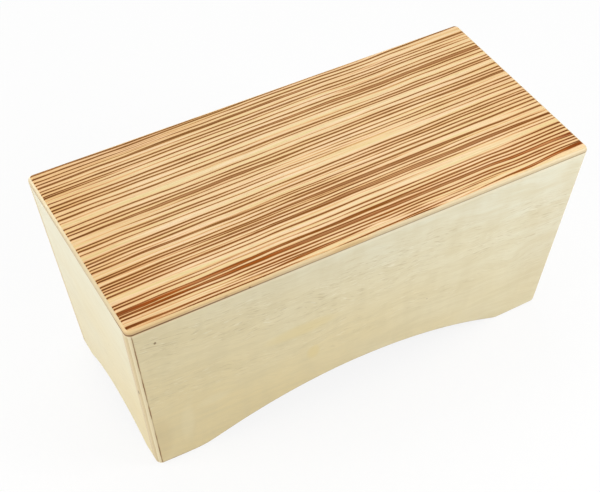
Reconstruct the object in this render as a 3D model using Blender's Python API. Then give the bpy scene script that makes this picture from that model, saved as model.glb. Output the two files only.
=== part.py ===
"""Bongo cajon: a small box drum with two voices, in birch plywood with a striped playing surface.

The body is a splayed box. Its four panels lean inwards towards the floor. The long front and rear
panels cover the edges of the two end panels, and every panel has a shallow arch cut from its lower
edge, which leaves a foot at each corner. A divider let into grooves in the long panels makes a larger
low-voiced chamber and a smaller high-voiced one, both open underneath. Posts in the inner corners and
battens under the playing surface give the glued joints their width.

Units are metres. +Z is up, +X runs along the length, the front faces -Y, and the origin is the middle
of the footprint, on the floor.
"""

import math
from collections import namedtuple

import bmesh
import bpy
from mathutils import Vector

# Overall sizes
BODY_LENGTH = 0.400
BODY_DEPTH = 0.190
TOTAL_HEIGHT = 0.185
END_INSET = 0.0175  # how far each end panel leans in, from its top edge to the floor
SIDE_INSET = 0.0175  # the same for the long panels

# Playing surface
TAPA_THICKNESS = 0.004  # veneer, glue and core together
VENEER_THICKNESS = 0.0004
TAPA_ROUND = 0.0036

# Panels
PANEL_THICKNESS = 0.009
CORNER_ROUND = 0.005  # upright corners, their feet and the tapa's corners, on the outside
ARCH_ROUND = 0.003  # arches, on the outside; along each foot it grows to the corner's rounding
INNER_EASE = 0.001  # feet, arches and divider, on the inside
SIDE_ARCH_SPAN = 0.280
SIDE_ARCH_RISE = 0.030
END_ARCH_SPAN = 0.110
END_ARCH_RISE = 0.018

# Divider
DIVIDER_THICKNESS = 0.006
DIVIDER_OFFSET = 0.020  # from the middle of the body to the middle of the divider
DIVIDER_RAISE = 0.042  # clear height under the divider
GROOVE_DEPTH = 0.003

# Corner posts and battens
POST_WIDTH = 0.018
POST_CHAMFER = 0.006
POST_RAISE = 0.012  # clear height under a post
BATTEN_WIDTH = 0.014
BATTEN_HEIGHT = 0.014
BATTEN_CHAMFER = 0.004

# Glue line between neighbours, and how far a cutter reaches past what it cuts
GLUE_GAP = 0.0003
CUTTER_REACH = 0.002

# Facets
ARCH_STEPS = 32
ROUND_STEPS = 5
SHARP_ANGLE = math.radians(32)
MERGE_DISTANCE = 1e-6

# Worked out from the sizes above
JOINT_HEIGHT = TOTAL_HEIGHT - TAPA_THICKNESS
END_LEAN = END_INSET / JOINT_HEIGHT
SIDE_LEAN = SIDE_INSET / JOINT_HEIGHT
END_WALL = PANEL_THICKNESS * math.hypot(1, END_LEAN)  # level widths of the leaning panels
SIDE_WALL = PANEL_THICKNESS * math.hypot(1, SIDE_LEAN)
DIVIDER_LEFT = DIVIDER_OFFSET - DIVIDER_THICKNESS / 2
DIVIDER_RIGHT = DIVIDER_OFFSET + DIVIDER_THICKNESS / 2

# Colours as linear RGB, with roughness
Finish = namedtuple("Finish", "colour roughness")
ZEBRANO = Finish((0.60, 0.33, 0.14), 0.42)
TAPA_BIRCH = Finish((0.80, 0.62, 0.38), 0.50)
PANEL_BIRCH = Finish((0.78, 0.70, 0.48), 0.48)
DIVIDER_BIRCH = Finish((0.74, 0.64, 0.43), 0.60)
BATTEN_SPRUCE = Finish((0.72, 0.55, 0.33), 0.65)

# A corner of a panel's outline: its place across and up the panel, the move that sets it in by one
# unit, and the rounding of the panel's outer and inner edge there.
EdgePoint = namedtuple("EdgePoint", "place inward outer_round inner_round")


def clear_scene():
    for old in list(bpy.data.objects):
        bpy.data.objects.remove(old, do_unlink=True)


def make_material(name, finish):
    material = bpy.data.materials.new(name)
    material.use_nodes = True
    shader = material.node_tree.nodes["Principled BSDF"]
    shader.inputs["Base Color"].default_value = (*finish.colour, 1.0)
    shader.inputs["Roughness"].default_value = finish.roughness
    shader.inputs["Metallic"].default_value = 0.0
    return material


def outer_half_length(height):
    return BODY_LENGTH / 2 - END_LEAN * (JOINT_HEIGHT - height)


def outer_half_depth(height):
    return BODY_DEPTH / 2 - SIDE_LEAN * (JOINT_HEIGHT - height)


def inner_half_length(height):
    return outer_half_length(height) - END_WALL


def inner_half_depth(height):
    return outer_half_depth(height) - SIDE_WALL


def loft(name, rings, material=None):
    """A closed mesh through rings of equal count, with both end rings capped."""
    work = bmesh.new()
    rows = [[work.verts.new(point) for point in ring] for ring in rings]
    for lower, upper in zip(rows, rows[1:]):
        for near in range(len(lower)):
            far = (near + 1) % len(lower)
            work.faces.new((lower[near], lower[far], upper[far], upper[near]))
    work.faces.new(rows[0])
    work.faces.new(rows[-1])
    bmesh.ops.remove_doubles(work, verts=work.verts, dist=MERGE_DISTANCE)
    bmesh.ops.recalc_face_normals(work, faces=work.faces)
    mesh = bpy.data.meshes.new(name)
    work.to_mesh(mesh)
    work.free()
    if material:
        mesh.materials.append(material)
    mesh.shade_smooth()
    mesh.set_sharp_from_angle(angle=SHARP_ANGLE)
    return mesh


def add_object(name, mesh, parent, location=(0, 0, 0), turn=0.0):
    thing = bpy.data.objects.new(name, mesh)
    thing.location = location
    thing.rotation_euler = (0, 0, turn)
    thing.parent = parent
    bpy.context.scene.collection.objects.link(thing)
    return thing


# Playing surface


def rounded_rectangle(inset, height):
    """The body's top outline, set in all round, as a level ring."""
    radius = max(CORNER_ROUND - inset, 0.0)
    centre_x = BODY_LENGTH / 2 - inset - radius
    centre_y = BODY_DEPTH / 2 - inset - radius
    ring = []
    for corner, (side_x, side_y) in enumerate(((1, 1), (-1, 1), (-1, -1), (1, -1))):
        for step in range(ROUND_STEPS + 1):
            angle = math.pi / 2 * (corner + step / ROUND_STEPS)
            x = side_x * centre_x + radius * math.cos(angle)
            y = side_y * centre_y + radius * math.sin(angle)
            ring.append((x, y, height))
    return ring


def tapa_rings(lower_depth, upper_depth):
    """Rings up the tapa's rounded edge, between two depths below its top."""
    radius = min(TAPA_ROUND, TAPA_THICKNESS - GLUE_GAP)
    rings = []
    if lower_depth > radius:
        rings.append(rounded_rectangle(0.0, TOTAL_HEIGHT - lower_depth))
    first = math.asin(1 - min(lower_depth, radius) / radius)
    last = math.asin(1 - upper_depth / radius)
    for step in range(ROUND_STEPS + 1):
        angle = first + (last - first) * step / ROUND_STEPS
        height = TOTAL_HEIGHT - radius * (1 - math.sin(angle))
        rings.append(rounded_rectangle(radius * (1 - math.cos(angle)), height))
    return rings


def make_tapa(parent):
    core_rings = tapa_rings(TAPA_THICKNESS - GLUE_GAP, VENEER_THICKNESS + GLUE_GAP)
    core = loft("tapa_core", core_rings, make_material("tapa_birch", TAPA_BIRCH))
    veneer_rings = tapa_rings(VENEER_THICKNESS, 0.0)
    veneer = loft("tapa_face_veneer", veneer_rings, make_material("zebrano", ZEBRANO))
    add_object("tapa_core", core, parent)
    add_object("tapa_face_veneer", veneer, parent)


# Panels, modelled upright with their outer face at y = 0 and the inside of the body towards +y


def mirrored(points):
    """The same stretch of outline on the other side of the panel, in outline order."""
    flip = Vector((-1, 1))
    return [p._replace(place=p.place * flip, inward=p.inward * flip) for p in reversed(points)]


def arch_edge(span, rise):
    """The arch from foot to foot. It is one arc, and its ends share the mitre with the foot."""
    radius = (span**2 / 4 + rise**2) / (2 * rise)
    centre = Vector((0, rise - radius))
    half_angle = math.asin(span / 2 / radius)
    edge = []
    for step in range(ARCH_STEPS + 1):
        angle = half_angle * (2 * step / ARCH_STEPS - 1)
        inward = Vector((math.sin(angle), math.cos(angle)))
        place = centre + radius * inward
        if step in (0, ARCH_STEPS):
            inward = (inward + Vector((0, 1))) / (1 + inward.y)
        edge.append(EdgePoint(place, inward, ARCH_ROUND, INNER_EASE))
    return edge


def long_panel_outline():
    """Leaning sides with rounded lower corners. The panel's ends lie in the end panels' outer planes."""
    stretch = math.hypot(1, END_LEAN)
    top = Vector((-outer_half_length(JOINT_HEIGHT), JOINT_HEIGHT))
    left = [EdgePoint(top, Vector((stretch, 0)), CORNER_ROUND, 0.0)]
    side_angle = math.pi + math.atan(END_LEAN)
    centre_x = -outer_half_length(CORNER_ROUND) + CORNER_ROUND * stretch
    for step in range(ROUND_STEPS + 1):
        angle = side_angle + (1.5 * math.pi - side_angle) * step / ROUND_STEPS
        outward = Vector((math.cos(angle), math.sin(angle)))
        place = Vector((centre_x, CORNER_ROUND)) + outward * CORNER_ROUND
        inner_round = INNER_EASE if step == ROUND_STEPS else 0.0
        left.append(EdgePoint(place, -outward, CORNER_ROUND, inner_round))
    return left + arch_edge(SIDE_ARCH_SPAN, SIDE_ARCH_RISE) + mirrored(left)


def end_panel_outline():
    """Square-edged sides that meet the inner faces of the long panels."""

    def side(height):
        return Vector((GLUE_GAP - inner_half_depth(height), height))

    up_side = Vector((-SIDE_LEAN, 1))
    left = [
        EdgePoint(side(JOINT_HEIGHT), Vector((0, 0)), 0.0, 0.0),
        EdgePoint(side(0.0), up_side, CORNER_ROUND, INNER_EASE),
    ]
    return left + arch_edge(END_ARCH_SPAN, END_ARCH_RISE) + mirrored(left)


def divider_outline():
    """A plain trapezium that reaches into the grooves of the long panels."""

    def side(height):
        return Vector((GLUE_GAP - GROOVE_DEPTH - inner_half_depth(height), height))

    up_side = Vector((-SIDE_LEAN, 1))
    left = [
        EdgePoint(side(JOINT_HEIGHT), Vector((0, 0)), 0.0, 0.0),
        EdgePoint(side(DIVIDER_RAISE), up_side, INNER_EASE, INNER_EASE),
    ]
    return left + mirrored(left)


def panel_ring(outline, lean, wall, turn, is_outer):
    """The outline at one step of the rounding, set in and carried into the panel's thickness."""
    ring = []
    for edge in outline:
        radius = edge.outer_round if is_outer else edge.inner_round
        across, height = edge.place + edge.inward * radius * (1 - math.sin(turn))
        sunk = radius * (1 - math.cos(turn))
        depth = sunk if is_outer else wall - sunk
        ring.append((across, depth + lean * (JOINT_HEIGHT - height), height))
    return ring


def panel_mesh(name, outline, lean, wall, material):
    turns = [math.pi / 2 * step / ROUND_STEPS for step in range(ROUND_STEPS + 1)]
    rings = [panel_ring(outline, lean, wall, turn, True) for turn in turns]
    rings += [panel_ring(outline, lean, wall, turn, False) for turn in reversed(turns)]
    return loft(name, rings, material)


def cut_groove(panel, side, parent):
    """Lets a stopped groove for the divider into a long panel's inner face, open at the top."""
    low = DIVIDER_RAISE - GLUE_GAP
    high = JOINT_HEIGHT + CUTTER_REACH
    left = DIVIDER_LEFT - GLUE_GAP
    right = DIVIDER_RIGHT + GLUE_GAP
    rings = []
    for height in (low, high):
        inner = inner_half_depth(height) - CUTTER_REACH
        outer = inner_half_depth(height) + GROOVE_DEPTH
        corners = ((left, inner), (right, inner), (right, outer), (left, outer))
        rings.append([(x, side * y, height) for x, y in corners])
    cutter = add_object(panel.name + "_groove", loft(panel.name + "_groove", rings), parent)
    cutter.hide_render = True
    cutter.display_type = "WIRE"
    groove = panel.modifiers.new("divider_groove", "BOOLEAN")
    groove.operation = "DIFFERENCE"
    groove.solver = "EXACT"
    groove.object = cutter


def make_panels(parent):
    birch = make_material("panel_birch", PANEL_BIRCH)
    long_panel = panel_mesh("long_panel", long_panel_outline(), SIDE_LEAN, SIDE_WALL, birch)
    end_panel = panel_mesh("end_panel", end_panel_outline(), END_LEAN, END_WALL, birch)
    front = add_object("front_panel", long_panel, parent, (0, -BODY_DEPTH / 2, 0))
    rear = add_object("rear_panel", long_panel, parent, (0, BODY_DEPTH / 2, 0), math.pi)
    cut_groove(front, -1, parent)
    cut_groove(rear, 1, parent)
    quarter = math.pi / 2
    add_object("left_end_panel", end_panel, parent, (-BODY_LENGTH / 2, 0, 0), -quarter)
    add_object("right_end_panel", end_panel, parent, (BODY_LENGTH / 2, 0, 0), quarter)


def make_divider(parent):
    birch = make_material("divider_birch", DIVIDER_BIRCH)
    mesh = panel_mesh("chamber_divider", divider_outline(), 0.0, DIVIDER_THICKNESS, birch)
    add_object("chamber_divider", mesh, parent, (DIVIDER_LEFT, 0, 0), -math.pi / 2)


# Corner posts and battens


def post_ring(side_x, side_y, height):
    """A post's level section: a square with its inner corner cut off, set into the body's corner."""
    corner_x = inner_half_length(height) - GLUE_GAP
    corner_y = inner_half_depth(height) - GLUE_GAP
    cut = POST_WIDTH - POST_CHAMFER
    section = ((0, 0), (POST_WIDTH, 0), (POST_WIDTH, cut), (cut, POST_WIDTH), (0, POST_WIDTH))
    return [(side_x * (corner_x - x), side_y * (corner_y - y), height) for x, y in section]


def make_posts(parent, spruce):
    for side_y, row in ((-1, "front"), (1, "rear")):
        for side_x, column in ((-1, "left"), (1, "right")):
            name = f"corner_post_{row}_{column}"
            rings = [post_ring(side_x, side_y, z) for z in (POST_RAISE, JOINT_HEIGHT)]
            add_object(name, loft(name, rings, spruce), parent)


def batten_section(inner_half):
    """A batten's section across the body, as distance from the middle and height."""
    low = JOINT_HEIGHT - BATTEN_HEIGHT
    inner = inner_half(JOINT_HEIGHT) - GLUE_GAP - BATTEN_WIDTH
    return (
        (inner_half(JOINT_HEIGHT) - GLUE_GAP, JOINT_HEIGHT),
        (inner, JOINT_HEIGHT),
        (inner, low + BATTEN_CHAMFER),
        (inner + BATTEN_CHAMFER, low),
        (inner_half(low) - GLUE_GAP, low),
    )


def post_face(inner_half, height):
    """How far from the middle a batten may reach before it meets a post."""
    return inner_half(height) - POST_WIDTH - 2 * GLUE_GAP


def make_side_battens(parent, spruce):
    for side_y, row in ((-1, "front"), (1, "rear")):
        low_ring = []
        low_end = []
        high_ring = []
        high_end = []
        for across, height in batten_section(inner_half_depth):
            reach = post_face(inner_half_length, height)
            low_ring.append((-reach, side_y * across, height))
            low_end.append((DIVIDER_LEFT - GLUE_GAP, side_y * across, height))
            high_ring.append((DIVIDER_RIGHT + GLUE_GAP, side_y * across, height))
            high_end.append((reach, side_y * across, height))
        for voice, rings in (("low", (low_ring, low_end)), ("high", (high_ring, high_end))):
            name = f"batten_{row}_{voice}"
            add_object(name, loft(name, rings, spruce), parent)


def make_end_battens(parent, spruce):
    for side_x, column in ((-1, "left"), (1, "right")):
        name = f"batten_{column}_end"
        rings = []
        for side_y in (-1, 1):
            ring = []
            for across, height in batten_section(inner_half_length):
                reach = post_face(inner_half_depth, height)
                ring.append((side_x * across, side_y * reach, height))
            rings.append(ring)
        add_object(name, loft(name, rings, spruce), parent)


def main():
    clear_scene()
    body = add_object("bongo_cajon", None, None)
    spruce = make_material("batten_spruce", BATTEN_SPRUCE)
    make_tapa(body)
    make_panels(body)
    make_divider(body)
    make_posts(body, spruce)
    make_side_battens(body, spruce)
    make_end_battens(body, spruce)


main()
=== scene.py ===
"""Looks of the bongo cajon: plywood panels, striped playing surface, softwood inside, and the studio."""

import math
from collections import namedtuple

import bpy
import numpy as np
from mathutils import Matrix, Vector


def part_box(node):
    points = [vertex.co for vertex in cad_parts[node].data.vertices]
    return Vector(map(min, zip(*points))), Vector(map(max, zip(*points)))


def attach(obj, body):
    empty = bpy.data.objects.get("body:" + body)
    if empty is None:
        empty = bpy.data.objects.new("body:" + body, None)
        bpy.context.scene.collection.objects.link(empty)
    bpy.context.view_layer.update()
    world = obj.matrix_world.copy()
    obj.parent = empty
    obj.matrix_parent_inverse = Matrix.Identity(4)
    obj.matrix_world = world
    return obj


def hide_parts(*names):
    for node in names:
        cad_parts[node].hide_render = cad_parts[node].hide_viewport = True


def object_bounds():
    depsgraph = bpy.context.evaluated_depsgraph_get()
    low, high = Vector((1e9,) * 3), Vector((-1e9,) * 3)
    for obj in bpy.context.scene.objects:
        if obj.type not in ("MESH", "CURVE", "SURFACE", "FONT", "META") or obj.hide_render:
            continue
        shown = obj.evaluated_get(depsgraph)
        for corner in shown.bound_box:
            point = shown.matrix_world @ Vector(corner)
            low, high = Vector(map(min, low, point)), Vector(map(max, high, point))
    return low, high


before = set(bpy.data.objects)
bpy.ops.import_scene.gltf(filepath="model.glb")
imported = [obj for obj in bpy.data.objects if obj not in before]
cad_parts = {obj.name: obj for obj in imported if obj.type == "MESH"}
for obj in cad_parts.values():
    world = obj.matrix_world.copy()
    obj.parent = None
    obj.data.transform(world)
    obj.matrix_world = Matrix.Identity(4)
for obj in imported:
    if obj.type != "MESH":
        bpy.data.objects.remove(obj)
cad_low, cad_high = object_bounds()

# Sizes read from the frame, in metres
LENGTH = cad_high.x - cad_low.x
DEPTH = cad_high.y - cad_low.y
HEIGHT = cad_high.z
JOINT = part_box("front_panel")[1].z  # where the panels end and the playing surface begins
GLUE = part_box("tapa_core")[0].z - JOINT
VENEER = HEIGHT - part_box("tapa_face_veneer")[0].z
WALL = DEPTH / 2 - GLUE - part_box("left_end_panel")[1].y  # level width of a leaning panel
SIDE_LEAN = (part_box("front_panel")[1].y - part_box("front_panel")[0].y - WALL) / JOINT
END_LEAN = (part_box("left_end_panel")[1].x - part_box("left_end_panel")[0].x - WALL) / JOINT

# Roundings and fits of the finished surfaces
CORNER_ROUND = 0.005
ARCH_ROUND = 0.003
INNER_EASE = 0.001
TAPA_ROUND = 0.0036
TAPA_EASE = 0.0003  # lower edge of the playing surface, which makes the dark line of the joint
GLUED_GAP = 0.00004  # what is left of the glue line where two pieces were sanded flush
GLUE_WIDTH = 0.004  # how far the glue under the playing surface reaches inwards
GLUE_SET_BACK = 0.00012
KINK_EASES = 0.0020, 0.0006  # softening where an arch meets its first and its second foot

# Steps of the grids
STATIONS = 220
FACE_ROWS = 26
ROUND_ROWS = 14
EASE_ROWS = 5
ROW_GATHER = 1.5  # power that gathers a panel's rows towards its lower edge
SETTLING_ROUNDS = 5  # in which the place and the height of a lower edge settle
FLAT_RINGS = (0.0004, 0.0015, 0.006)  # how far inside the rounding the flat top has its rings

SHARP_ANGLE = math.radians(34)
MM = 1000.0

# Camera of the photograph, 600 x 492
CAMERA_PLACE = (-0.40675, -0.73169, 0.92034)
CAMERA_TURN = (45.267, 0.586, -29.080)
CAMERA_LENS = 85.25
CAMERA_SENSOR = 36.0
CAMERA_SHIFT = (-0.001, 0.00075)

# Studio
Lamp = namedtuple("Lamp", "name place aim size power")
LAMPS = (
    Lamp("key", (-1.4, 0.1, 0.9), (0, 0, 0.1), (0.9, 0.9), 11),
    Lamp("fill", (0.7, -0.65, 0.65), (0.08, 0, 0.1), (0.5, 0.5), 5.5),
    Lamp("overhead", (0.1, 0.6, 1.6), (0, 0, 0.15), (1.2, 0.8), 5.4),
    Lamp("rear", (0.5, 1.3, 0.3), (0, 0, 0.1), (0.8, 0.5), 3),
)
WORLD_LIGHT = 0.45  # strength of the world where it lights the object. Where it is seen it is 1, white
FLOOR_REACH = 4.0
FLOOR_DROP = 0.0002  # how far the floor lies below the feet
FLOOR_GLOW = 0.86  # share of the seen floor that shines white. The rest keeps the shadow


# Meshes


def add_piece(name, points, material, node=None, is_ring=False):
    """A mesh from a grid of points whose rows are closed loops.

    Neighbouring rows are joined with quads. The first and last row are closed with one flat face each, or
    joined to each other where the piece is a ring.
    """
    rows, columns, _ = points.shape
    index = np.arange(rows * columns).reshape(rows, columns)
    below = np.vstack([index, index[:1]]) if is_ring else index
    after = np.roll(below, -1, axis=1)
    quads = np.stack([below[:-1], after[:-1], after[1:], below[1:]], axis=-1).reshape(-1, 4)
    faces = quads.tolist()
    if not is_ring:
        faces += [index[0, ::-1].tolist(), index[-1].tolist()]
    mesh = bpy.data.meshes.new(name)
    mesh.from_pydata(points.reshape(-1, 3).tolist(), [], faces)
    mesh.materials.append(material)
    mesh.shade_smooth()
    mesh.set_sharp_from_angle(angle=SHARP_ANGLE)
    piece = bpy.data.objects.new(name, mesh)
    bpy.context.scene.collection.objects.link(piece)
    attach(piece, "root")
    if node:
        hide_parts(node)


def arch_of(node, across):
    """Half span and rise of a CAD panel's arch, read from its corners on the floor and at its middle."""
    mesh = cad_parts[node].data
    points = np.empty(len(mesh.vertices) * 3, np.float32)
    mesh.vertices.foreach_get("co", points)
    points = points.reshape(-1, 3)
    near = 1e-5
    half_span = np.abs(points[points[:, 2] < near, across]).min()
    rise = points[np.abs(points[:, across]) < near, 2].min()
    return float(half_span), float(rise)


def arch_height(across, half_span, rise):
    """Height of a panel's lower edge: a circular arch, softly joined to level feet.

    The arch is the circle through both feet and the crown. Outside the feet it would dip below the floor,
    so the edge is the smooth maximum of the circle's height h and zero: half the sum of h and the root of
    h squared plus 2e squared. The softening e differs from foot to foot, as on an arch sawn by hand.
    """
    radius = (half_span**2 + rise**2) / (2 * rise)
    circle = np.sqrt(np.maximum(radius**2 - across**2, 0)) + rise - radius
    ease = np.where(across < 0, *KINK_EASES)
    return (circle + np.sqrt(circle**2 + 4 * ease**2)) / 2


def panel_grid(side_half, arch, lean, is_rounded):
    """A leaning panel as vertical sections carried from one side to the other.

    Each section is a loop: down the outer face, round the lower outer edge, across the bottom, round the
    lower inner edge, up the inner face and across the top. The lower rounding grows along the foot from the
    arch's to the corner's. Where the sides are rounded, the last sections shrink as those of a ball do: at
    an angle a round the corner, 0 where the rounding begins, their share is cos a at r(1 - sin a) from the
    side.
    Returns points as (across, inwards from the top's outer edge, up).
    """
    turn = np.linspace(0, math.pi / 2, ROUND_ROWS + 1)[1:] if is_rounded else np.zeros(0)
    middle = np.linspace(-1, 1, STATIONS)
    across = np.concatenate([-np.ones(turn.size), middle, np.ones(turn.size)])[:, None]
    angle = np.concatenate([turn[::-1], np.zeros(middle.size), turn])[:, None]
    share = np.cos(angle)
    side_round = CORNER_ROUND if is_rounded else 0.0
    from_side = side_round * (1 - np.sin(angle)) * math.hypot(1, lean)
    sunk = side_round * (1 - share)

    bottom = np.zeros_like(across)
    for _ in range(SETTLING_ROUNDS):
        edge = across * (side_half(bottom) - from_side)
        bottom = arch_height(edge, *arch)
    bottom = np.maximum(bottom, sunk)
    along_foot = (np.abs(edge) - arch[0]) / (side_half(0.0) - side_round - arch[0])
    ball = (ARCH_ROUND + (CORNER_ROUND - ARCH_ROUND) * np.clip(along_foot, 0, 1)) * share

    quarter = np.linspace(0, math.pi / 2, ROUND_ROWS + 1)[None, :]
    ease = np.linspace(0, math.pi / 2, EASE_ROWS + 1)[None, :]
    down = (1 - np.linspace(0, 1, FACE_ROWS)[None, :-1]) ** ROW_GATHER
    up = down[:, ::-1]
    ones = np.ones_like(down)
    outer_start = bottom + ball
    inner_start = bottom + INNER_EASE
    heights = [
        outer_start + (JOINT - outer_start) * down,
        bottom + ball * (1 - np.sin(quarter)),
        bottom + INNER_EASE * (1 - np.cos(ease)),
        inner_start + (JOINT - inner_start) * up,
    ]
    inwards = [
        sunk * ones,
        sunk + ball * (1 - np.cos(quarter)),
        WALL - INNER_EASE * (1 - np.sin(ease)) + 0 * ball,
        WALL * ones + 0 * ball,
    ]
    heights = np.concatenate(heights, axis=1)
    inwards = np.concatenate(inwards, axis=1)
    sideways = across * (side_half(heights) - from_side)
    return np.stack([sideways, inwards + lean * (JOINT - heights), heights], axis=-1)


def placed(grid, turn, middle):
    """Turns a panel about the vertical by quarter turns and moves its top outer edge to its place."""
    cos, sin = round(math.cos(turn)), round(math.sin(turn))
    x, y, z = np.moveaxis(grid, -1, 0)
    return np.stack([cos * x - sin * y + middle[0], sin * x + cos * y + middle[1], z], axis=-1)


def outer_half_length(height):
    """Half length of the box at a height: that of its top, less the lean times the drop from the joint."""
    return LENGTH / 2 - END_LEAN * (JOINT - height)


def end_half_width(height):
    """Half width of an end panel at a height: half the box's depth, less one wall and the glued gap."""
    return DEPTH / 2 - SIDE_LEAN * (JOINT - height) - WALL - GLUED_GAP


def make_panels():
    """Long panels end in the outer planes of the end panels. End panels fill the width between them."""
    long_grid = panel_grid(outer_half_length, arch_of("front_panel", 0), SIDE_LEAN, True)
    end_grid = panel_grid(end_half_width, arch_of("left_end_panel", 1), END_LEAN, False)
    quarter = math.pi / 2
    places = {
        "front_panel": (long_grid, 0.0, (0, -DEPTH / 2)),
        "rear_panel": (long_grid, math.pi, (0, DEPTH / 2)),
        "left_end_panel": (end_grid, -quarter, (-LENGTH / 2, 0)),
        "right_end_panel": (end_grid, quarter, (LENGTH / 2, 0)),
    }
    for node, (grid, turn, middle) in places.items():
        points = placed(grid, turn, middle)[:, ::-1]
        add_piece(node + "_ply", points, birch_panel(node), node)


def tapa_ring(inset, height):
    """Rounded rectangles, one for each inset and height. Their corners' radius shrinks by the inset."""
    inset = np.asarray(inset)[:, None]
    height = np.asarray(height)[:, None]
    radius = np.maximum(CORNER_ROUND - inset, 0)
    centre_x = LENGTH / 2 - inset - radius
    centre_y = DEPTH / 2 - inset - radius
    corners = []
    steps = np.linspace(0, math.pi / 2, ROUND_ROWS + 1)[None, :]
    for quarter, (side_x, side_y) in enumerate(((1, 1), (-1, 1), (-1, -1), (1, -1))):
        angle = steps + quarter * math.pi / 2
        x = side_x * centre_x + radius * np.cos(angle)
        y = side_y * centre_y + radius * np.sin(angle)
        corners.append(np.stack([x, y, height + 0 * x], axis=-1))
    return np.concatenate(corners, axis=1)


def rounding(first_depth, last_depth, steps):
    """Insets and heights up the rounded upper edge, between two depths below the top.

    On a quarter circle of radius r, at an angle a above the level, the inset is r(1 - cos a) and the depth
    below the top is r(1 - sin a).
    """
    first, last = (math.asin(1 - depth / TAPA_ROUND) for depth in (first_depth, last_depth))
    angle = np.linspace(first, last, steps)
    return TAPA_ROUND * (1 - np.cos(angle)), HEIGHT - TAPA_ROUND * (1 - np.sin(angle))


def make_tapa():
    """Core and veneer of the playing surface: rings up their edge, closed by a flat top and bottom."""
    ease = np.linspace(0, math.pi / 2, EASE_ROWS + 1)
    low_inset = TAPA_EASE * (1 - np.sin(ease))
    low_height = JOINT + GLUE + TAPA_EASE * (1 - np.cos(ease))
    core_inset, core_height = rounding(TAPA_ROUND, VENEER + GLUED_GAP, 2 * ROUND_ROWS)
    core = tapa_ring(np.append(low_inset, core_inset), np.append(low_height, core_height))
    add_piece("tapa_core_ply", core, tapa_birch(), "tapa_core")
    inset, height = rounding(VENEER, 0.0, ROUND_ROWS)
    flat = TAPA_ROUND + np.array(FLAT_RINGS)
    veneer = tapa_ring(np.append(inset, flat), np.append(height, np.full(flat.size, HEIGHT)))
    add_piece("tapa_zebrano_face", veneer, zebrano(), "tapa_face_veneer")


def make_glue_line():
    """Glue between the panels and the playing surface: a flat ring set back a little from their faces."""
    inset = np.array([GLUE_WIDTH, GLUE_SET_BACK, GLUE_SET_BACK, GLUE_WIDTH])
    height = JOINT + np.array([0, 0, GLUE, GLUE]) + np.array([1, 1, -1, -1]) * GLUED_GAP / 2
    add_piece("tapa_glue_line", tapa_ring(inset, height), glue_finish(), is_ring=True)


# Shader maths


class Field:
    """A socket in a material's node tree. Arithmetic on it adds Math nodes."""

    def __init__(self, tree, socket):
        self.tree = tree
        self.socket = socket

    def node(self, kind, settings=None, inputs=None, output=0):
        """Adds a node of any type, with its settings first and then the values or links of its sockets."""
        made = self.tree.nodes.new(kind)
        for name, value in (settings or {}).items():
            setattr(made, name, value)
        for key, value in (inputs or {}).items():
            if isinstance(value, Field):
                self.tree.links.new(value.socket, made.inputs[key])
            else:
                made.inputs[key].default_value = value
        return Field(self.tree, made.outputs[output])

    def math(self, operation, *values):
        return self.node("ShaderNodeMath", {"operation": operation}, dict(enumerate(values)))

    def __add__(self, other):
        return self.math("ADD", self, other)

    def __sub__(self, other):
        return self.math("SUBTRACT", self, other)

    def __rsub__(self, other):
        return self.math("SUBTRACT", other, self)

    def __mul__(self, other):
        return self.math("MULTIPLY", self, other)

    def __truediv__(self, other):
        return self.math("DIVIDE", self, other)

    def __abs__(self):
        return self.math("ABSOLUTE", self)

    __radd__ = __add__
    __rmul__ = __mul__

    def ramp(self, low, high):
        """0 below low and 1 above high, with a smooth step between. With low above high it falls."""
        settings = {"interpolation_type": "SMOOTHSTEP"}
        return self.node("ShaderNodeMapRange", settings, {0: self, 1: low, 2: high})

    def larger(self, other):
        return self.math("MAXIMUM", self, other)

    def smaller(self, other):
        return self.math("MINIMUM", self, other)

    def root(self):
        return self.math("SQRT", self)

    def blend(self, first, second):
        """The first colour where this field is 0, the second where it is 1."""
        return self.node("ShaderNodeMix", {"data_type": "RGBA"}, {0: self, 6: first, 7: second}, 2)

    def tint(self, colour, filter_colour):
        """The colour where this field is 0, seen through the filter where it is 1."""
        settings = {"data_type": "RGBA", "blend_type": "MULTIPLY"}
        return self.node("ShaderNodeMix", settings, {0: self, 6: colour, 7: filter_colour}, 2)

    def noise(self, scale, other, other_scale, seed, detail=1.0, roughness=0.5):
        """Smooth noise from 0 to 1 on this field and another, each with its own scale."""
        vector = self.node("ShaderNodeCombineXYZ", None, {0: self * scale, 1: other * other_scale, 2: seed})
        inputs = {"Vector": vector, "Scale": 1.0, "Detail": detail, "Roughness": roughness}
        return self.node("ShaderNodeTexNoise", {"noise_dimensions": "3D"}, inputs)


def rgb(red, green, blue):
    """A colour given as it looks on screen, from 0 to 255, as linear RGBA."""
    shares = np.array([red, green, blue]) / 255
    linear = np.where(shares <= 0.04045, shares / 12.92, ((shares + 0.055) / 1.055) ** 2.4)
    return (*linear.tolist(), 1.0)


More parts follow.
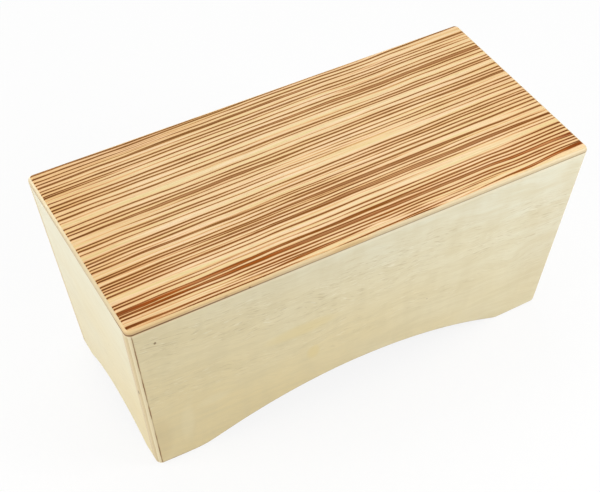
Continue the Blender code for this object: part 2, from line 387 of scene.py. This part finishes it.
class Wood:
    """A new material with its place in millimetres as the fields x, y and z."""

    def __init__(self, name):
        self.material = bpy.data.materials.new(name)
        self.material.use_nodes = True
        self.tree = self.material.node_tree
        self.shader = self.tree.nodes["Principled BSDF"]
        coordinates = self.tree.nodes.new("ShaderNodeTexCoord")
        place = Field(self.tree, coordinates.outputs["Object"])
        split = place.node("ShaderNodeSeparateXYZ", None, {0: place}).socket.node
        self.x, self.y, self.z = (Field(self.tree, out) * MM for out in split.outputs)

    def finish(self, colour, roughness, relief, relief_depth, gloss=0.5):
        """Links the colour, roughness and surface relief, whose depth is in metres."""
        inputs = {"Height": relief, "Distance": relief_depth, "Strength": 1.0}
        bump = relief.node("ShaderNodeBump", None, inputs)
        links = {"Base Color": colour, "Roughness": roughness, "Normal": bump}
        for name, field in links.items():
            self.tree.links.new(field.socket, self.shader.inputs[name])
        self.shader.inputs["Specular IOR Level"].default_value = gloss
        return self.material


# Zebrano

# A strand of dark wood: its place across the top, its drift over the whole length, its width, and where
# along the length it starts and ends, in millimetres. One between -FAR and FAR runs through.
Strand = namedtuple("Strand", "across drift width start end")
FAR = 400
STRANDS = (
    Strand(91.6, -8.8, 2.4, -FAR, 10),
    Strand(91.0, 0.0, 1.9, -FAR, 130),
    Strand(86.8, 0.0, 1.7, -FAR, -60),
    Strand(88.2, -1.5, 1.8, -150, FAR),
    Strand(83.2, 0.0, 1.6, -FAR, -80),
    Strand(84.4, -1.5, 1.7, -150, 190),
    Strand(79.6, 0.5, 2.3, -FAR, 80),
    Strand(80.6, -1.0, 2.6, -130, 120),
    Strand(78.4, -1.0, 2.5, 76, FAR),
    Strand(75.0, 0.0, 1.6, -FAR, -90),
    Strand(75.2, -0.5, 1.7, -150, 240),
    Strand(71.5, -0.5, 2.0, -FAR, 260),
    Strand(66.4, 0.0, 2.2, -360, -120),
    Strand(68.4, 0.5, 1.7, -FAR, 120),
    Strand(68.6, 0.0, 1.7, 20, 210),
    Strand(64.0, 2.0, 1.6, -210, 90),
    Strand(62.6, 0.0, 1.5, 62, 114),
    Strand(63.0, 1.0, 1.2, 88, 220),
    Strand(58.6, 0.0, 1.6, -FAR, -130),
    Strand(59.4, 0.0, 1.8, -160, FAR),
    Strand(54.6, 0.5, 2.0, -FAR, FAR),
    Strand(54.9, 0.0, 4.0, -110, FAR),
    Strand(50.8, 1.0, 1.8, -FAR, FAR),
    Strand(47.4, 0.5, 1.7, -FAR, 130),
    Strand(46.4, 1.5, 1.6, 70, FAR),
    Strand(41.8, -0.5, 1.3, -FAR, 40),
    Strand(41.0, 0.0, 1.4, 0, FAR),
    Strand(37.7, 0.0, 2.0, -FAR, FAR),
    Strand(34.8, 0.5, 1.5, -110, FAR),
    Strand(34.0, 0.0, 1.3, -FAR, -150),
    Strand(27.7, 1.5, 1.6, -FAR, 70),
    Strand(27.9, 0.5, 1.6, 0, FAR),
    Strand(22.6, 1.2, 1.7, -FAR, FAR),
    Strand(19.4, 1.5, 1.8, -FAR, FAR),
    Strand(15.4, 3.5, 1.7, -FAR, FAR),
    Strand(15.2, 1.5, 3.8, -200, 30),
    Strand(15.9, 0.5, 2.8, 50, FAR),
    Strand(11.4, 2.0, 1.5, -150, 180),
    Strand(7.3, 0.0, 1.7, -176, 0),
    Strand(7.7, 1.0, 1.6, -20, FAR),
    Strand(4.8, 0.5, 1.8, -30, FAR),
    Strand(2.2, 0.0, 1.8, -FAR, 60),
    Strand(-0.6, 0.5, 1.7, -FAR, 60),
    Strand(0.0, 0.5, 1.5, 20, FAR),
    Strand(-5.2, 0.0, 1.3, -FAR, 0),
    Strand(-2.6, -2.0, 1.5, 80, FAR),
    Strand(-10.8, 4.2, 1.7, -FAR, FAR),
    Strand(-13.5, 5.0, 1.9, -FAR, 0),
    Strand(-14.1, 3.4, 1.8, -40, 260),
    Strand(-17.1, 4.4, 1.8, -FAR, FAR),
    Strand(-19.7, 1.0, 1.6, -20, FAR),
    Strand(-20.7, 4.0, 1.5, -330, -120),
    Strand(-23.9, 4.0, 1.8, -FAR, -20),
    Strand(-23.6, 1.0, 1.9, -110, FAR),
    Strand(-25.7, 1.0, 1.8, -150, 30),
    Strand(-25.1, 0.0, 2.6, -180, -110),
    Strand(-28.5, 3.0, 1.8, -160, FAR),
    Strand(-28.7, 3.0, 1.7, -105, 60),
    Strand(-31.9, 5.0, 1.8, -FAR, 30),
    Strand(-31.3, 6.0, 2.2, -60, 70),
    Strand(-31.0, 0.0, 1.7, 160, 290),
    Strand(-36.2, 0.8, 1.8, -FAR, FAR),
    Strand(-35.7, 1.0, 3.9, -80, 170),
    Strand(-38.1, 0.8, 1.3, -168, 20),
    Strand(-40.1, 4.5, 2.0, -FAR, 170),
    Strand(-43.3, 3.5, 1.8, -FAR, 150),
    Strand(-42.1, -1.2, 1.6, 50, 212),
    Strand(-47.1, 1.0, 1.5, -FAR, -70),
    Strand(-48.9, 3.0, 1.8, -FAR, FAR),
    Strand(-47.2, 1.5, 4.6, -84, 220),
    Strand(-52.3, 4.0, 1.8, -FAR, -20),
    Strand(-51.6, 2.0, 1.2, 0, 300),
    Strand(-56.2, 3.0, 1.9, -142, 78),
    Strand(-53.9, 0.0, 1.2, 120, FAR),
    Strand(-62.1, 5.0, 1.8, -FAR, -70),
    Strand(-62.3, 0.6, 1.5, -124, 140),
    Strand(-63.0, 5.6, 2.2, 100, FAR),
    Strand(-64.9, 5.0, 1.8, -FAR, -66),
    Strand(-65.9, 3.2, 1.7, -100, FAR),
    Strand(-69.8, 4.2, 1.9, -FAR, FAR),
    Strand(-70.2, 6.0, 4.3, -FAR, 0),
    Strand(-70.9, 1.5, 2.4, -60, 60),
    Strand(-71.7, 0.0, 1.6, -40, FAR),
    Strand(-76.1, 1.6, 2.2, -FAR, FAR),
    Strand(-75.8, 1.4, 3.9, -230, 170),
    Strand(-74.3, -4.0, 3.5, -60, FAR),
    Strand(-80.2, 0.0, 1.7, -FAR, FAR),
    Strand(-83.3, 0.5, 1.7, -190, FAR),
    Strand(-83.4, 0.5, 1.7, -140, 0),
    Strand(-85.9, 0.5, 1.6, -124, -10),
    Strand(-86.2, 3.0, 1.5, 14, 66),
    Strand(-86.1, -0.5, 1.6, 40, FAR),
    Strand(-88.2, 1.0, 1.2, 64, 122),
    Strand(-88.9, 1.0, 1.2, 26, 66),
    Strand(-87.4, 0.0, 1.7, -240, -168),
    Strand(-88.3, 0.5, 1.8, -FAR, -20),
    Strand(-85.9, 14.0, 2.8, -104, 16),
    Strand(-92.3, -3.0, 1.4, -180, -50),
    Strand(-92.3, 6.0, 1.8, -64, 96),
    Strand(-93.4, 0.0, 1.6, 22, 64),
    Strand(-97.5, 17.5, 4.2, 84, FAR),
)
TILT = 0.016  # rise of the grain along the length, in the middle of the top
TILT_GAIN = 0.000066  # how much more it rises for every millimetre towards the rear

# A place where the strands bend: how far they dip towards the front there, in millimetres, and the ramps
# along the length and across it that bound the place, each from where it is 0 to where it is 1
Bend = namedtuple("Bend", "dip along across")
BENDS = (
    Bend(0.7, ((118.0, 140.0), (185.0, 140.0)), ((-55.0, -72.0),)),
    Bend(0.7, ((50.0, 80.0), (130.0, 95.0)), ((38.0, 50.0),)),
    Bend(-0.7, ((-140.0, -100.0), (-30.0, -70.0)), ((-81.0, -77.0), (-60.0, -68.0))),
    Bend(0.7, ((-155.0, -200.0),), ((-8.0, -18.0), (-60.0, -52.0))),
)

GROUND_ROSY = rgb(251, 225, 186)
GROUND_STRAW = rgb(237, 217, 158)
GROUND_HALO = rgb(250, 208, 162)  # beside a strand
GROUND_FIBRE = rgb(226, 190, 130)
FAINT_STREAK = rgb(194, 142, 80)
STRAND_RIM = rgb(218, 150, 80)
PORE_BROWN = rgb(112, 64, 20)
FRONT_BROWNS = rgb(148, 84, 14), rgb(110, 57, 1)  # lighter and darker brown of narrow strands
REAR_BROWNS = rgb(149, 98, 42), rgb(111, 70, 20)
RED_BROWNS = rgb(174, 90, 24), rgb(142, 67, 8)  # the same inside broad strands
DULL_BROWNS = rgb(182, 130, 84), rgb(152, 103, 60)
TIP_FILTER = (0.74, 0.66, 0.46, 1.0)  # darkens strands towards the ends of the top
MELLOW_FILTER = (0.96, 0.89, 0.80, 1.0)  # warms the whole wood towards the ends of the top


def strand_depth(x, flow):
    """How deep a point lies inside the nearest strand, in millimetres, below zero outside.

    A strand that ends on the top is a lens: its half width at a place t, from -1 at its start to 1 at its
    end, is its full half width times 1 - t squared.
    """
    deepest = None
    for strand in STRANDS:
        line = x.math("MULTIPLY_ADD", x, strand.drift / (LENGTH * MM), strand.across)
        half = strand.width / 2
        inside = half - abs(flow - line)
        if strand.start > -FAR or strand.end < FAR:
            reach = (strand.end - strand.start) / 2
            place = x.math("MULTIPLY_ADD", x, 1 / reach, -(strand.start + strand.end) / 2 / reach)
            inside = x.math("MULTIPLY_ADD", place * place, -half, inside)
        deepest = inside if deepest is None else deepest.larger(inside)
    return deepest


def grain_flow(x, y):
    """Place across the grain: y less a rise along x that grows with y, plus two slow noises and the bends.

    A bend is the product of its ramps times its dip.
    """
    flow = y - x * (y * TILT_GAIN + TILT)
    flow = flow + (x.noise(0.008, y, 0.014, 1.7) - 0.5) * 1.6 + (x.noise(0.022, y, 0.06, 4.1) - 0.5) * 1.4
    for bend in BENDS:
        share = bend.dip
        for ends in bend.along:
            share = x.ramp(*ends) * share
        for ends in bend.across:
            share = y.ramp(*ends) * share
        flow = flow + share
    return flow


def zebrano():
    """Long stripes on a wavering flow: brown cores with orange rims, split bands, fibre and pores."""
    wood = Wood("zebrano_finish")
    x, y = wood.x, wood.y
    flow = grain_flow(x, y)
    fray = flow + (x.noise(0.07, flow, 0.9, 5.3, 2.0) - 0.5) * 0.5
    swell = (x.noise(0.02, flow, 0.3, 9.0) - 0.5) * 0.9
    inside = strand_depth(x, fray) + swell
    core = inside.ramp(-0.06, 0.40)
    rim = inside.ramp(-0.75, 0.10)
    halo = inside.ramp(-2.2, -0.3)
    broad = inside.ramp(0.7, 1.2)
    split = x.noise(0.010, flow, 1.1, 61.0).ramp(0.50, 0.64)
    fibre = x.noise(0.03, flow, 2.2, 21.0, 3.0, 0.6)
    streak = x.noise(0.012, flow, 0.5, 25.0, 2.0)
    faint = x.noise(0.008, flow, 0.8, 52.0).ramp(0.56, 0.68)
    pores = x.noise(0.09, flow, 3.6, 33.0, 2.0).ramp(0.62, 0.72)
    ground = streak.ramp(0.36, 0.66).blend(GROUND_ROSY, GROUND_STRAW)
    ground = (halo * 0.45).blend(ground, GROUND_HALO)
    ground = (fibre.ramp(0.35, 0.75) * 0.35).blend(ground, GROUND_FIBRE)
    ground = (faint * 0.25).blend(ground, FAINT_STREAK)
    ground = (rim * 0.60).blend(ground, STRAND_RIM)
    to_rear = y.ramp(-85.0, 10.0)
    mottle = fibre.ramp(0.3, 0.7)
    light_brown, dark_brown = (to_rear.blend(*pair) for pair in zip(FRONT_BROWNS, REAR_BROWNS))
    narrow_brown = mottle.blend(light_brown, dark_brown)
    dulled = x.noise(0.007, flow, 0.05, 71.0) + (y + 68.0) * 0.008
    broad_brown = dulled.ramp(0.40, 0.60).blend(mottle.blend(*RED_BROWNS), mottle.blend(*DULL_BROWNS))
    brown = broad.blend(narrow_brown, broad_brown)
    tips = x.ramp(-176.0, -194.0) + x.ramp(176.0, 194.0) * y.ramp(20.0, -60.0)
    tips = tips.larger(x.ramp(-80.0, -180.0) * y.ramp(40.0, 75.0) * 0.58)
    brown = tips.tint(brown, TIP_FILTER)
    colour = (core * (1 - broad * split * 0.5)).blend(ground, brown)
    colour = (pores * 0.3).blend(colour, PORE_BROWN)
    mellowed = x.ramp(-115.0, -190.0) + x.ramp(115.0, 190.0) * 0.5
    colour = mellowed.tint(colour, MELLOW_FILTER)
    relief = fibre * 0.4 - pores * 0.6
    roughness = 0.56 + fibre * 0.12 + pores * 0.1
    return wood.finish(colour, roughness, relief, relief_depth=0.00006, gloss=0.09)


# Birch

JOINT_STAIN = rgb(112, 64, 4)  # glue and sanding dust in the joint under the playing surface
JOINT_GLOW = rgb(228, 180, 100)  # where the stain drew into the wood below it
END_STAIN = 0.38  # how much more of it the end panels took up
PLY_LINES = (0.20, 1.9, 3.6, 5.4, 7.1, 8.8)  # depths of the glue lines in the plywood, in millimetres
PLY_TONES = (
    rgb(250, 236, 196),
    rgb(220, 201, 156),
    rgb(226, 208, 164),
    rgb(216, 196, 151),
    rgb(226, 207, 165),
)
PLYWOOD = 9.0  # thickness of the panels' plywood
PLY_BLUR = 0.03  # half width of the change from one ply to the next
PLY_FLECK = rgb(186, 158, 112)
GLUE_HALF = 0.11  # half width of a glue line
GLUE_RIM = rgb(190, 138, 66)
GLUE_BROWN = rgb(108, 60, 4)
GLUE_DUST = rgb(206, 184, 146), rgb(172, 146, 106)
SANDED_PALE = rgb(248, 237, 208)  # below the joint, where the sanding stopped

BIRCH_COOL = rgb(233, 230, 207)
BIRCH_WARM = rgb(232, 214, 165)
BIRCH_STREAK = rgb(216, 201, 158)
BIRCH_CURL = rgb(214, 200, 160)
BIRCH_FIBRE = rgb(216, 202, 162)
BIRCH_DASH = rgb(194, 176, 132)
BIRCH_FLECK = rgb(246, 240, 218)

# The edge of the playing surface, its upper and its lower plies
UPPER_FRONT = rgb(228, 208, 166)
# colour of the upper ply towards the rear, lightened by a painted highlight
UPPER_REAR_HIGHLIGHT = rgb(246, 230, 192)
UPPER_GOLD = rgb(240, 206, 148)
UPPER_FIBRE = rgb(214, 188, 140)
LOWER_PLAIN = rgb(215, 198, 161)
LOWER_GOLD = rgb(220, 186, 134)
LOWER_FIBRE = rgb(200, 172, 122)

# How a panel's wood differs from the others': the contrast of its outer plies at its lower and its higher
# end, its warmth, the height of its band of dashes in millimetres, and the strength of its figure
PanelFinish = namedtuple("PanelFinish", "contrasts warmth band figure")
PANEL_FINISHES = {
    "front_panel": PanelFinish((1.0, 0.25), 0.0, 104.0, 1.2),
    "rear_panel": PanelFinish((0.25, 0.5), 10.0, 112.0, 0.9),
    "left_end_panel": PanelFinish((1.0, 1.0), -38.0, 20.0, 0.5),
    "right_end_panel": PanelFinish((1.0, 1.0), -20.0, 160.0, 0.7),
}

PIN_KNOT = rgb(104, 66, 22)
TAN = rgb(200, 176, 126)
STRAW = rgb(228, 206, 136)
CREAM = rgb(236, 224, 186)

# A mark in the wood: its place along a panel or the playing surface, or its depth below a panel's face on
# the end at a lower or higher x, its height above the floor, its half width and half height in millimetres,
# its strength and its colour
Mark = namedtuple("Mark", "place up half_width half_height share colour")
FACE_MARKS = {
    "front_panel": (
        Mark(176.0, 90.0, 22.0, 60.0, 0.14, TAN),
        Mark(-182.0, 36.0, 11.0, 26.0, 0.24, TAN),
        Mark(-156.0, 46.0, 5.0, 20.0, 0.30, CREAM),
        Mark(-133.0, 62.0, 12.0, 5.0, 0.30, CREAM),
        Mark(-57.0, 104.0, 26.0, 6.0, 0.35, STRAW),
        Mark(-45.0, 68.0, 5.0, 7.0, 0.40, STRAW),
        Mark(-179.0, 162.0, 0.9, 1.2, 0.75, PIN_KNOT),
        Mark(61.0, 74.0, 0.5, 0.4, 0.60, PIN_KNOT),
    ),
    "rear_panel": (
        Mark(-84.0, 58.0, 30.0, 8.0, 0.22, STRAW),
        Mark(150.0, 90.0, 26.0, 44.0, 0.12, TAN),
        Mark(92.0, 131.0, 0.7, 0.5, 0.70, PIN_KNOT),
        Mark(-120.0, 88.0, 0.6, 0.5, 0.60, PIN_KNOT),
    ),
}
LOW_END_VOIDS = {
    "front_panel": (Mark(4.6, 105.0, 0.8, 2.2, 0.85, PIN_KNOT), Mark(5.2, 72.0, 0.5, 1.6, 0.40, PIN_KNOT))
}
HIGH_END_VOIDS = {"rear_panel": (Mark(6.2, 61.0, 0.4, 1.2, 0.60, PIN_KNOT),)}
TAPA_MARKS = (
    Mark(-140.0, 182.0, 12.0, 0.8, 0.45, rgb(238, 208, 164)),
    Mark(-20.0, 183.3, 12.0, 0.9, 0.50, rgb(196, 160, 100)),
    Mark(-103.0, 181.8, 0.9, 0.6, 0.80, PIN_KNOT),
    Mark(-122.0, 182.4, 1.6, 0.4, 0.35, PIN_KNOT),
)


def birch_face(along, across, warmth, band, figure):
    """Colour and relief of rotary-cut birch: slow changes of warmth, with painted shade making it warmer
    towards the bottom and the left and a painted sheen making it cooler towards the right, faint streaks,
    curl and fine dashes.

    The dashes and pale flecks gather along the grain, in a wavering band and in a weaker one below it.
    """
    flow = across + along * 0.08 + (along.noise(0.006, across, 0.02, 3.3, 2.0) - 0.5) * 30
    flow = flow + (along.noise(0.03, across, 0.05, 5.1) - 0.5) * 9
    # The noise is the wood's own tone. The terms in across and along are painted light: warmer low down and
    # to the left as painted shade, cooler to the right as a painted sheen.
    tone_and_painted_shade = (along.noise(0.009, flow, 0.014, 7.7, 2.0) - 0.5) * 110 - across * 0.6 - along * 0.35 + warmth
    streaks = along.noise(0.016, flow, 0.13, 9.1, 3.0, 0.6)
    curl = along.noise(0.055, across, 0.018, 11.0, 2.0)
    fibre = along.noise(0.04, flow, 1.6, 15.0, 3.0, 0.6)
    gathered = abs(flow - band).ramp(40.0, 8.0).larger(abs(flow - band + 50.0).ramp(26.0, 6.0) * 0.5)
    busy = gathered * along.noise(0.016, flow, 0.03, 23.0, 2.0).ramp(0.30, 0.60) * 0.85 + 0.15
    dashes = along.noise(0.085, flow, 0.85, 17.0, 2.0, 0.6).ramp(0.53, 0.70) * busy
    flecks = along.noise(0.12, flow, 0.70, 19.0, 2.0).ramp(0.56, 0.74) * busy
    colour = tone_and_painted_shade.ramp(-150.0, 40.0).blend(BIRCH_COOL, BIRCH_WARM)
    colour = (streaks.ramp(0.36, 0.70) * (figure * 0.34)).blend(colour, BIRCH_STREAK)
    colour = (curl.ramp(0.40, 0.70) * (figure * 0.22)).blend(colour, BIRCH_CURL)
    colour = (fibre.ramp(0.35, 0.8) * (figure * 0.25)).blend(colour, BIRCH_FIBRE)
    colour = (dashes * (figure * 0.55)).blend(colour, BIRCH_DASH)
    colour = (flecks * (figure * 0.50)).blend(colour, BIRCH_FLECK)
    relief = fibre * 0.5 - dashes * 0.3 + flecks * 0.2
    return colour, relief, fibre


def add_marks(marks, place, up, where, colour):
    """Pin knots, voids and faint patches: soft ellipses by the squared distance from their middles."""
    for mark in marks:
        off_place = (place - mark.place) / mark.half_width
        off_up = (up - mark.up) / mark.half_height
        spot = (off_place * off_place + off_up * off_up).ramp(2.2, 0.2) * where
        colour = (spot * mark.share).blend(colour, mark.colour)
    return colour


def plywood_edge(depth, along, face, contrast):
    """Plies and glue lines by their depth below the outer face, where an edge lays them open."""
    grain = along.noise(0.6, depth, 1.5, 27.0, 2.0)
    flecks = along.noise(0.9, depth, 2.6, 29.0).ramp(0.62, 0.74)
    worn = along.noise(0.035, depth, 0.05, 35.0, 2.0).ramp(0.36, 0.62)
    colour = face
    for line, tone in zip(PLY_LINES, PLY_TONES):
        ply = (grain * 0.25 + flecks * 0.25).blend(tone, PLY_FLECK)
        colour = depth.ramp(line - PLY_BLUR, line + PLY_BLUR).blend(colour, ply)
    colour = depth.ramp(PLY_LINES[-1] - PLY_BLUR, PLY_LINES[-1] + PLY_BLUR).blend(colour, face)
    ragged = depth + (along.noise(0.15, depth, 0.1, 31.0, 2.0) - 0.5) * 0.12
    laid_open = depth.ramp(0.04, 0.09) * depth.ramp(PLYWOOD - 0.04, PLYWOOD - 0.09)
    for number, line in enumerate(PLY_LINES):
        off_line = abs(ragged - line)
        is_face = number in (0, len(PLY_LINES) - 1)
        share = worn * 0.65 + 0.25 if is_face else worn * 0.2 + 0.08
        share = share * laid_open
        colour = (off_line.ramp(GLUE_HALF * 2.4, GLUE_HALF) * share * 0.6).blend(colour, GLUE_RIM)
        colour = (off_line.ramp(GLUE_HALF, GLUE_HALF * 0.6) * share).blend(colour, GLUE_BROWN)
    return face.node("ShaderNodeMix", {"data_type": "RGBA"}, {0: contrast, 6: face, 7: colour}, 2)


def joint_stain(x, y):
    """How strongly the joint under the playing surface is stained: most at the front, at the lower x."""
    at_front = y.ramp(-60.0, -90.0) * 0.80 + 0.1
    return (x.noise(0.012, y, 0.01, 60.0, 2.0) * 0.5 + x.ramp(0.0, -200.0) * 0.6 + 0.15) * at_front


def glue_finish():
    """Glue in the joint: pale and dusty, or dark where stain gathered in it."""
    wood = Wood("glue_line_finish")
    x, y, z = wood.x, wood.y, wood.z
    dust = (x + y).noise(0.4, z, 2.0, 81.0, 3.0)
    pale = dust.ramp(0.3, 0.7).blend(*GLUE_DUST)
    colour = joint_stain(x, y).blend(pale, JOINT_STAIN)
    return wood.finish(colour, 0.5 + dust * 0.2, dust, relief_depth=0.00005, gloss=0.2)


def birch_panel(node):
    """Plywood of a leaning panel. Depth below its outer face is measured square to the leaning plane.

    The contrast of its outer plies changes along it, from that of its lower end to that of its higher end.
    """
    contrasts, warmth, band, figure = PANEL_FINISHES[node]
    is_long = not node.endswith("end_panel")
    wood = Wood(node.replace("_panel", "_finish"))
    x, y, z = wood.x, wood.y, wood.z
    along, off_middle = (x, y) if is_long else (y, x)
    half, lean = (DEPTH / 2, SIDE_LEAN) if is_long else (LENGTH / 2, END_LEAN)
    level = half * MM - (JOINT * MM - z) * lean - abs(off_middle)
    depth = level / math.hypot(1, lean)
    face, relief, fibre = birch_face(along, z + off_middle * 0.35, warmth, band, figure)
    face = add_marks(FACE_MARKS.get(node, ()), along, z, depth.ramp(0.3, 0.1), face)
    contrast = along.ramp(-120.0, 120.0) * (contrasts[1] - contrasts[0]) + contrasts[0]
    contrast = contrast.larger(depth.ramp(0.8, 2.0) * 0.75)
    colour = plywood_edge(depth, z + along, face, contrast)
    colour = add_marks(LOW_END_VOIDS.get(node, ()), depth, z, along.ramp(-150.0, -160.0), colour)
    colour = add_marks(HIGH_END_VOIDS.get(node, ()), depth, z, along.ramp(150.0, 160.0), colour)
    stain = joint_stain(x, y) + (0.0 if is_long else END_STAIN)
    below = JOINT * MM - z
    at_left = x.ramp(0.0, -190.0)
    colour = (below.ramp(4.0, 1.6) * 0.4).blend(colour, SANDED_PALE)
    colour = (below.ramp(2.4, 0.4) * at_left * stain * 0.5).blend(colour, JOINT_GLOW)
    colour = ((below / (at_left * 0.5 + 0.4)).ramp(1.0, 0.3) * stain).blend(colour, JOINT_STAIN)
    return wood.finish(colour, 0.40 + fibre * 0.12, relief, relief_depth=0.00005, gloss=0.3)


def tapa_birch():
    """Core of the playing surface: pale plies on its rounded edge, paler towards the rear by a painted
    highlight, a stained joint, bare birch below.
    """
    wood = Wood("tapa_edge_finish")
    x, y, z = wood.x, wood.y, wood.z
    depth = HEIGHT * MM - z
    fibre = (x + y).noise(0.2, z, 2.4, 5.0, 3.0)
    golden = x.ramp(10.0, -10.0) * 0.4 + x.ramp(-70.0, -105.0) * 0.6
    golden = (golden + x.ramp(-48.0, -30.0) * x.ramp(8.0, -8.0) * 0.5) * y.ramp(-70.0, -93.0)
    # Paler towards the rear: painted highlight on the upper ply of the edge
    upper = y.ramp(-30.0, 70.0).blend(UPPER_FRONT, UPPER_REAR_HIGHLIGHT)
    upper = golden.blend(upper, UPPER_GOLD)
    upper = (fibre.ramp(0.3, 0.8) * 0.4).blend(upper, UPPER_FIBRE)
    lower = golden.blend(LOWER_PLAIN, LOWER_GOLD)
    lower = (fibre.ramp(0.3, 0.8) * 0.4).blend(lower, LOWER_FIBRE)
    colour = depth.ramp(1.1, 2.2).blend(upper, lower)
    under = (HEIGHT - JOINT - GLUE) * MM
    from_edge = (LENGTH / 2 * MM - abs(x)).smaller(DEPTH / 2 * MM - abs(y))
    below, relief, _ = birch_face(x, y, 0.0, 30.0, 1.0)
    colour = depth.ramp(under - 0.08, under - 0.02).blend(colour, below)
    colour = add_marks(TAPA_MARKS, x, z, y.ramp(-90.0, -93.0), colour)
    stained = depth.ramp(under - 1.0, under - 0.1) * from_edge.ramp(2.0, 1.0) * joint_stain(x, y)
    colour = stained.blend(colour, JOINT_STAIN)
    return wood.finish(colour, 0.42 + fibre * 0.1, relief, relief_depth=0.00004)


# Inside

SPRUCE_EARLY = rgb(236, 206, 154)
SPRUCE_LATE = rgb(206, 158, 98)
SPRUCE_FIBRE = rgb(224, 186, 132)
RINGS_PER_MM = 0.45


def plain_ply(name):
    """Bare plywood of the divider, with its plies across its thickness."""
    wood = Wood(name)
    face, relief, fibre = birch_face(wood.y, wood.z, 0.0, 90.0, 1.0)
    low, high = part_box("chamber_divider")
    depth = (wood.x - low.x * MM) * (PLYWOOD / MM / (high.x - low.x))
    colour = plywood_edge(depth, wood.y, face, 0.5)
    return wood.finish(colour, 0.6 + fibre * 0.1, relief, relief_depth=0.00008, gloss=0.3)


def spruce(name, axis, heart):
    """Softwood stick along one axis: growth rings about a far heart line, and fine fibre along it.

    A point's place in its ring is the fraction left of its distance from the heart line, counted in rings.
    """
    wood = Wood(name)
    places = [wood.x, wood.y, wood.z]
    along = places.pop(axis)
    first, second = places
    first_off = first - heart[0] + (along.noise(0.01, second, 0.02, 2.0) - 0.5) * 6
    second_off = second - heart[1]
    radius = (first_off * first_off + second_off * second_off).root()
    ring = radius.math("FRACT", radius * RINGS_PER_MM)
    fibre = along.noise(0.05, first + second, 1.8, 6.0, 3.0)
    colour = ring.ramp(0.45, 0.95).blend(SPRUCE_EARLY, SPRUCE_LATE)
    colour = (fibre * 0.5).blend(colour, SPRUCE_FIBRE)
    return wood.finish(colour, 0.62 + fibre * 0.1, fibre - ring * 0.4, relief_depth=0.0001, gloss=0.3)


def dress_inside():
    """Gives the CAD sticks and the divider their woods. Each stick has its own heart line."""
    for number, (name, node) in enumerate(sorted(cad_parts.items())):
        if name == "chamber_divider":
            material = plain_ply("divider_finish")
        elif name.startswith("corner_post"):
            material = spruce(name + "_finish", 2, (40.0 * (-1) ** number, 25.0 + 9 * number))
        elif name.startswith("batten"):
            axis = 1 if name.endswith("_end") else 0
            material = spruce(name + "_finish", axis, (30.0 + 7 * number, 120.0 + 11 * number))
        else:
            continue
        node.data.materials.clear()
        node.data.materials.append(material)


# Studio


def seen_rays(tree):
    """1 for rays that show a surface to the camera, also by gloss or glass, and 0 for those that light."""
    light_path = tree.nodes.new("ShaderNodeLightPath")
    seen = Field(tree, light_path.outputs["Is Camera Ray"])
    seen = seen.larger(Field(tree, light_path.outputs["Is Glossy Ray"]))
    return seen.larger(Field(tree, light_path.outputs["Is Transmission Ray"]))


def make_floor():
    """A white floor that takes the shadow softly: part of it shines for the camera and for reflections."""
    mesh = bpy.data.meshes.new("floor")
    sides = (-1, -1), (1, -1), (1, 1), (-1, 1)
    corners = [(x * FLOOR_REACH, y * FLOOR_REACH, -FLOOR_DROP) for x, y in sides]
    mesh.from_pydata(corners, [], [(0, 1, 2, 3)])
    material = bpy.data.materials.new("floor_white")
    material.use_nodes = True
    tree = material.node_tree
    shader = tree.nodes["Principled BSDF"]
    shader.inputs["Base Color"].default_value = (0.9, 0.9, 0.9, 1)
    shader.inputs["Roughness"].default_value = 0.9
    shader.inputs["Specular IOR Level"].default_value = 0.0
    glow = tree.nodes.new("ShaderNodeEmission")
    both = tree.nodes.new("ShaderNodeMixShader")
    tree.links.new((seen_rays(tree) * FLOOR_GLOW).socket, both.inputs[0])
    tree.links.new(shader.outputs[0], both.inputs[1])
    tree.links.new(glow.outputs[0], both.inputs[2])
    tree.links.new(both.outputs[0], tree.nodes["Material Output"].inputs["Surface"])
    mesh.materials.append(material)
    floor = bpy.data.objects.new("floor", mesh)
    bpy.context.scene.collection.objects.link(floor)


def make_light(lamp):
    """A rectangular lamp at its place, turned to face its aim."""
    light = bpy.data.lights.new(lamp.name, "AREA")
    light.shape = "RECTANGLE"
    light.size, light.size_y = lamp.size
    light.energy = lamp.power
    holder = bpy.data.objects.new(lamp.name, light)
    holder.location = lamp.place
    holder.rotation_euler = (Vector(lamp.place) - Vector(lamp.aim)).to_track_quat("Z", "Y").to_euler()
    bpy.context.scene.collection.objects.link(holder)


def make_studio():
    """The photograph's camera, a world that is white where it is seen, four lamps and the floor."""
    scene = bpy.context.scene
    scene.view_settings.view_transform = "Standard"
    camera = bpy.data.objects.new("camera", bpy.data.cameras.new("camera"))
    camera.location = CAMERA_PLACE
    camera.rotation_euler = [math.radians(angle) for angle in CAMERA_TURN]
    camera.data.lens = CAMERA_LENS
    camera.data.sensor_width = CAMERA_SENSOR
    camera.data.shift_x, camera.data.shift_y = CAMERA_SHIFT
    scene.collection.objects.link(camera)
    scene.camera = camera
    world = bpy.data.worlds.new("studio")
    world.use_nodes = True
    scene.world = world
    tree = world.node_tree
    background = tree.nodes["Background"]
    background.inputs["Color"].default_value = (1, 1, 1, 1)
    strength = seen_rays(tree) * (1 - WORLD_LIGHT) + WORLD_LIGHT
    tree.links.new(strength.socket, background.inputs["Strength"])
    for lamp in LAMPS:
        make_light(lamp)
    make_floor()


make_studio()
make_panels()
make_tapa()
make_glue_line()
dress_inside()
